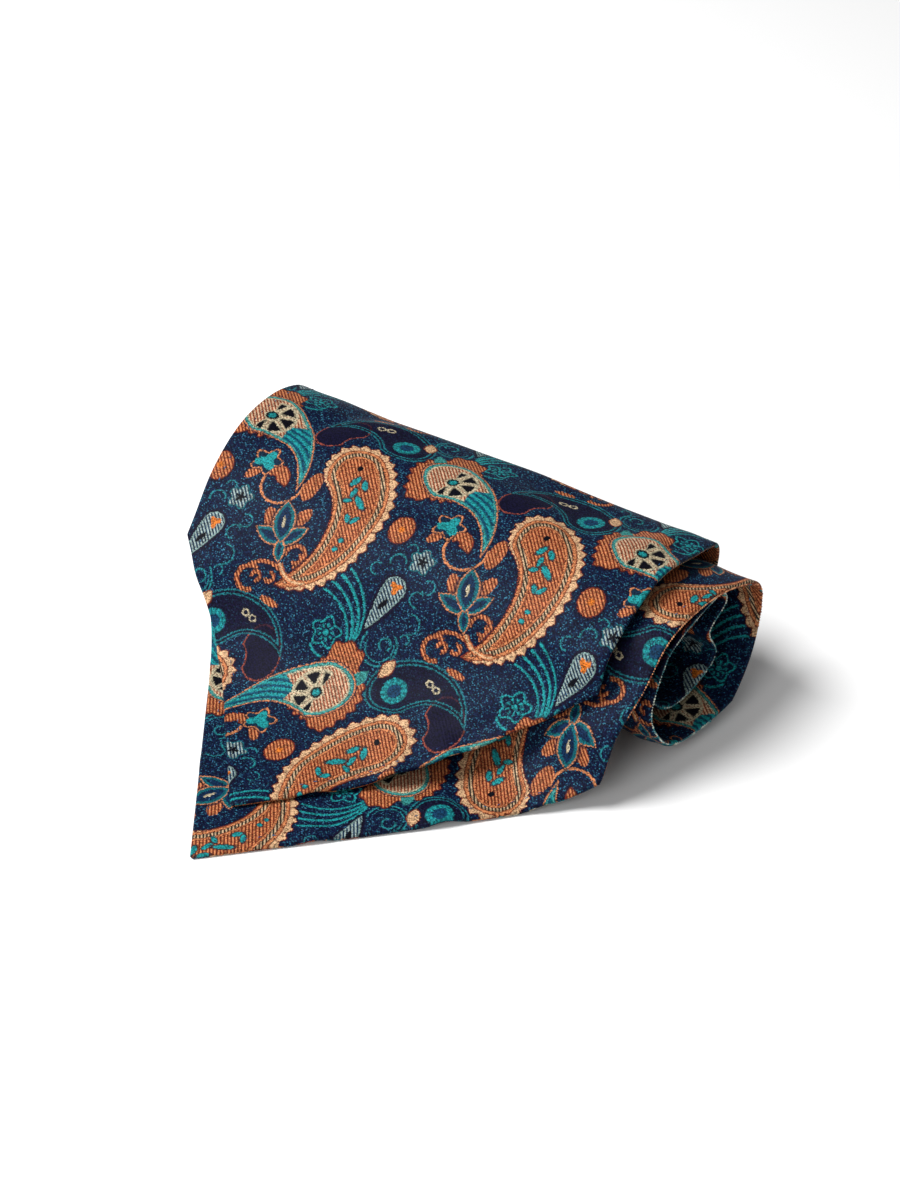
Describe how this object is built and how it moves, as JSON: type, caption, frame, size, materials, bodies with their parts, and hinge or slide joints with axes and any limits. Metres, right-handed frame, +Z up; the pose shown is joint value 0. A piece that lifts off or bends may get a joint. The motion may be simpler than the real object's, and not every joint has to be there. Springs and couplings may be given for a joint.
{
  "type": "silk cravat",
  "caption": "Silk cravat with two wide pointed blades, folded in half and rolled up from its neckband, lying on a table with both tips free in front of the roll.",
  "frame": {"origin": "on the table, below the middle of the whole", "axes": "+X along the roll towards its open, stepped end; -Y towards the two tips; +Z up from the table"},
  "size_m": [0.1952, 0.1928, 0.0598],
  "materials": {
    "jacquard_silk": "navy jacquard silk with teal, orange and cream paisley, soft sheen"
  },
  "bodies": {
    "root": {"top_blade": "jacquard_silk", "under_blade": "jacquard_silk", "shoulder_turn": "jacquard_silk", "neckband_turn": "jacquard_silk"}
  },
  "joints": []
}
